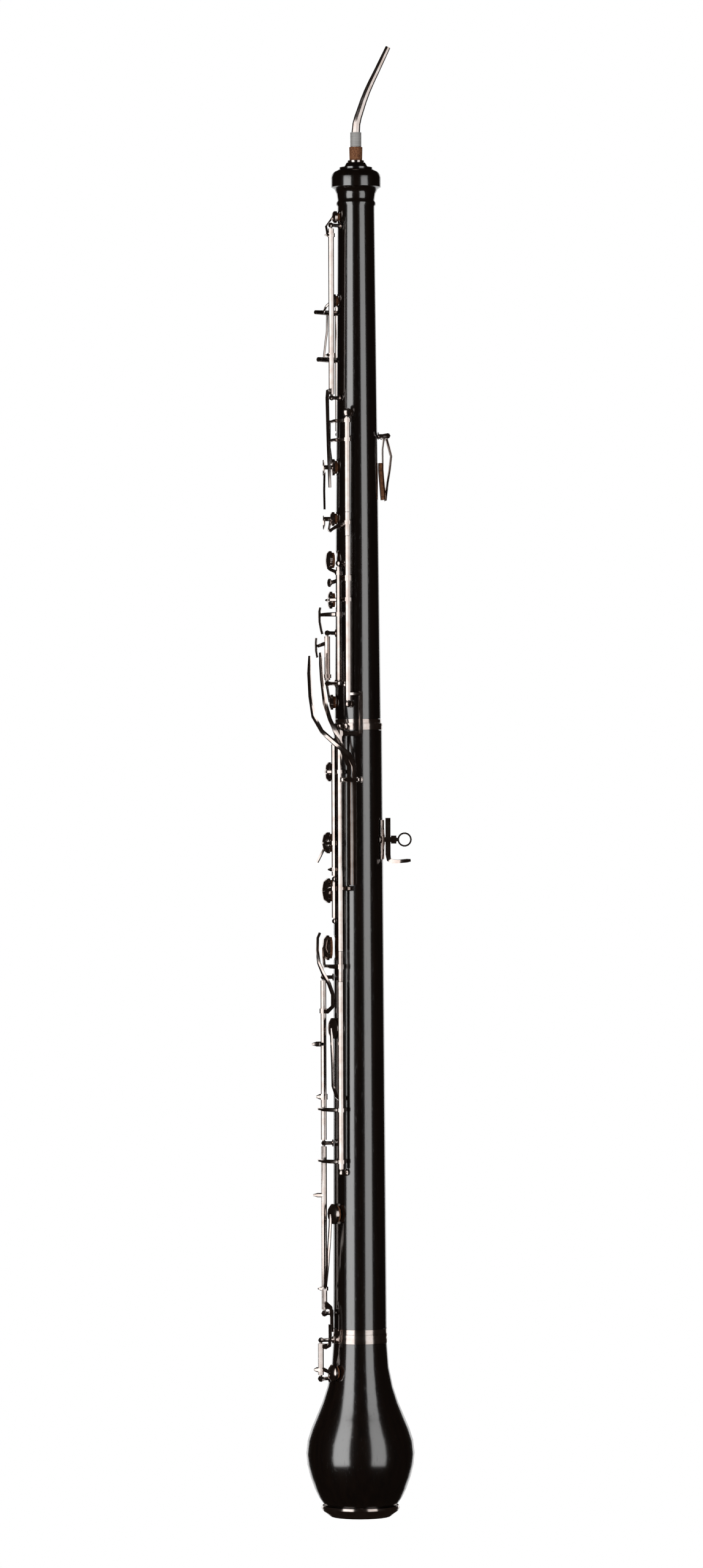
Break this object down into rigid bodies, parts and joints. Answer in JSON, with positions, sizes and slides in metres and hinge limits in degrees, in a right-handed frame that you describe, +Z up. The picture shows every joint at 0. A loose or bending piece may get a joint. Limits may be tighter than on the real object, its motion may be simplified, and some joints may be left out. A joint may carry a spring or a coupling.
{
  "type": "english horn",
  "caption": "English horn with dark wooden joints, pear-shaped bell, bent metal bocal, plated keywork with cork pads and a sliding thumb rest with strap ring.",
  "frame": {"origin": "on the bore axis at the lower face of the bell's rim", "axes": "+Z up the bore towards the bocal, -X the front with the tone holes, -Y the player's left"},
  "size_m": [0.0646, 0.0646, 0.8763],
  "materials": {
    "grenadilla": "oiled satin",
    "nickel": "polished",
    "cork": "matt cork",
    "white_sleeve": "satin"
  },
  "bodies": {
    "bell_section": {"bell": "grenadilla", "bell_rim": "nickel", "bell_socket_ring": "nickel", "bell_key_posts": "nickel"},
    "lower_section": {"lower_joint": "grenadilla", "lower_tenon_ring": "nickel", "lower_tenon_cork": "cork", "lower_socket_ring": "nickel", "thumb_rest_saddle": "nickel", "lower_stack_posts": "nickel", "front_posts": "nickel", "foot_posts": "nickel", "hand_lever_posts": "nickel"},
    "upper_section": {"upper_joint": "grenadilla", "upper_tenon_ring": "nickel", "upper_tenon_cork": "cork", "bocal_receiver": "nickel", "octave_posts": "nickel", "octave_vent_posts": "nickel", "thumb_octave_posts": "nickel", "upper_stack_posts": "nickel", "side_posts": "nickel"},
    "bocal": {"bocal_tube": "nickel", "bocal_band": "white_sleeve", "bocal_cork": "cork"},
    "thumb_hook": {"thumb_rest_hook": "nickel"},
    "strap_eye": {"strap_ring": "nickel"},
    "side_octave": {"side_octave_key": "nickel", "side_octave_pad": "cork"},
    "octave_vent": {"octave_vent_key": "nickel", "octave_vent_pad": "cork"},
    "thumb_octave": {"thumb_octave_key": "nickel", "thumb_octave_cork": "cork"},
    "first": {"first_plate": "nickel", "first_pad": "cork"},
    "second": {"second_plate": "nickel", "second_pad": "cork"},
    "upper_link": {"upper_link_key": "nickel", "upper_link_pad": "cork"},
    "third": {"third_plate": "nickel", "third_pad": "cork"},
    "g_sharp": {"g_sharp_key": "nickel", "g_sharp_pad": "cork"},
    "inner_hand": {"inner_hand_lever": "nickel"},
    "outer_hand": {"outer_hand_lever": "nickel"},
    "lower_link": {"lower_link_key": "nickel", "lower_link_pad": "cork"},
    "fourth": {"fourth_plate": "nickel", "fourth_pad": "cork"},
    "fifth": {"fifth_plate": "nickel", "fifth_pad": "cork"},
    "sixth": {"sixth_plate": "nickel", "sixth_pad": "cork"},
    "low_c": {"low_c_key": "nickel", "low_c_pad": "cork"},
    "long_touch": {"long_touch_key": "nickel"},
    "foot": {"foot_key": "nickel", "foot_pad": "cork"},
    "bell_vent": {"bell_key": "nickel", "bell_pad": "cork"}
  },
  "joints": [
    {"name": "lower_pull", "type": "slide", "parent": "bell_section", "child": "lower_section", "axis": [0, 0, 1], "range_m": [0, 0.02]},
    {"name": "upper_pull", "type": "slide", "parent": "lower_section", "child": "upper_section", "axis": [0, 0, 1], "range_m": [0, 0.022]},
    {"name": "bocal_pull", "type": "slide", "parent": "upper_section", "child": "bocal", "axis": [0, 0, 1], "range_m": [0, 0.02]},
    {"name": "hook_slide", "type": "slide", "parent": "lower_section", "child": "thumb_hook", "axis": [0, 0, 1], "range_m": [-0.005, 0.005]},
    {"name": "strap_eye_turn", "type": "hinge", "parent": "lower_section", "child": "strap_eye", "pos_m": [0.02, 0, 0.4032], "axis": [1, 0, 0], "continuous": true},
    {"name": "side_octave_hinge", "type": "hinge", "parent": "upper_section", "child": "side_octave", "pos_m": [-0.01494, -0.01008, 0.7174], "axis": [0, 0, 1], "range_deg": [0, 9], "stiffness_Nm_per_rad": 0.02, "springref_deg": -28.65},
    {"name": "octave_vent_hinge", "type": "hinge", "parent": "upper_section", "child": "octave_vent", "pos_m": [-0.01119, 0.01333, 0.6846], "axis": [0, 0, 1], "range_deg": [-7.5, 0], "stiffness_Nm_per_rad": 0.02, "springref_deg": 28.65},
    {"name": "thumb_octave_hinge", "type": "hinge", "parent": "upper_section", "child": "thumb_octave", "pos_m": [0.01663, 0.00477, 0.6438], "axis": [-0.2756, 0.9613, 0], "range_deg": [0, 1.8], "stiffness_Nm_per_rad": 0.02, "springref_deg": -28.65},
    {"name": "first_hinge", "type": "hinge", "parent": "upper_section", "child": "first", "pos_m": [-0.00579, -0.01752, 0.62593], "axis": [0, 0, 1], "range_deg": [0, 8], "stiffness_Nm_per_rad": 0.02, "springref_deg": -28.65},
    {"name": "second_hinge", "type": "hinge", "parent": "upper_section", "child": "second", "pos_m": [-0.00579, -0.01752, 0.5907], "axis": [0, 0, 1], "range_deg": [0, 8], "stiffness_Nm_per_rad": 0.02, "springref_deg": -28.65},
    {"name": "upper_link_hinge", "type": "hinge", "parent": "upper_section", "child": "upper_link", "pos_m": [-0.00579, -0.01752, 0.53483], "axis": [0, 0, 1], "range_deg": [-3.8, 0], "stiffness_Nm_per_rad": 0.02, "springref_deg": 28.65},
    {"name": "third_hinge", "type": "hinge", "parent": "upper_section", "child": "third", "pos_m": [-0.01102, -0.01478, 0.53175], "axis": [0, 0, 1], "range_deg": [-7.3, 0], "stiffness_Nm_per_rad": 0.02, "springref_deg": 28.65},
    {"name": "g_sharp_hinge", "type": "hinge", "parent": "upper_section", "child": "g_sharp", "pos_m": [-0.01808, -0.00658, 0.5113], "axis": [0, 0, 1], "range_deg": [0, 8], "stiffness_Nm_per_rad": 0.02, "springref_deg": -28.65},
    {"name": "inner_hand_hinge", "type": "hinge", "parent": "lower_section", "child": "inner_hand", "pos_m": [-0.0052, -0.0214, 0.439], "axis": [1, 0, 0], "range_deg": [-1, 0], "stiffness_Nm_per_rad": 0.02, "springref_deg": 28.65},
    {"name": "outer_hand_hinge", "type": "hinge", "parent": "lower_section", "child": "outer_hand", "pos_m": [-0.0024, -0.0214, 0.439], "axis": [1, 0, 0], "range_deg": [-2, 0], "stiffness_Nm_per_rad": 0.02, "springref_deg": 28.65},
    {"name": "lower_link_hinge", "type": "hinge", "parent": "lower_section", "child": "lower_link", "pos_m": [-0.01078, -0.01752, 0.40278], "axis": [0, 0, 1], "range_deg": [-2.45, 0], "stiffness_Nm_per_rad": 0.03, "springref_deg": 28.65},
    {"name": "fourth_hinge", "type": "hinge", "parent": "lower_section", "child": "fourth", "pos_m": [-0.0142, -0.01411, 0.421], "axis": [0, 0, 1], "range_deg": [-5.8, 0], "stiffness_Nm_per_rad": 0.02, "springref_deg": 28.65},
    {"name": "fifth_hinge", "type": "hinge", "parent": "lower_section", "child": "fifth", "pos_m": [-0.0142, -0.01411, 0.3675], "axis": [0, 0, 1], "range_deg": [-5, 0], "stiffness_Nm_per_rad": 0.03, "springref_deg": 28.65},
    {"name": "sixth_hinge", "type": "hinge", "parent": "lower_section", "child": "sixth", "pos_m": [-0.01078, -0.01752, 0.32815], "axis": [0, 0, 1], "range_deg": [-6, 0], "stiffness_Nm_per_rad": 0.02, "springref_deg": 28.65},
    {"name": "low_c_hinge", "type": "hinge", "parent": "lower_section", "child": "low_c", "pos_m": [-0.01078, -0.01752, 0.26348], "axis": [0, 0, 1], "range_deg": [0, 3.2], "stiffness_Nm_per_rad": 0.02, "springref_deg": -28.65},
    {"name": "long_touch_hinge", "type": "hinge", "parent": "lower_section", "child": "long_touch", "pos_m": [-0.02115, -0.00358, 0.272], "axis": [0, 0, 1], "range_deg": [0, 4], "stiffness_Nm_per_rad": 0.02, "springref_deg": -28.65},
    {"name": "foot_hinge", "type": "hinge", "parent": "lower_section", "child": "foot", "pos_m": [-0.02115, -0.00358, 0.17205], "axis": [0, 0, 1], "range_deg": [0, 7.6], "stiffness_Nm_per_rad": 0.03, "springref_deg": -28.65},
    {"name": "bell_vent_hinge", "type": "hinge", "parent": "bell_section", "child": "bell_vent", "pos_m": [-0.02334, -0.00714, 0.0942], "axis": [0, 0, 1], "range_deg": [0, 6.7], "stiffness_Nm_per_rad": 0.02, "springref_deg": -28.65}
  ],
  "couplings": [
    {"joint": "upper_link_hinge", "follows": "lower_link_hinge", "ratio": 1.53},
    {"joint": "octave_vent_hinge", "follows": "thumb_octave_hinge", "ratio": -3.9},
    {"joint": "inner_hand_hinge", "follows": "fifth_hinge", "ratio": 0.18},
    {"joint": "bell_vent_hinge", "follows": "foot_hinge", "ratio": 0.87}
  ]
}
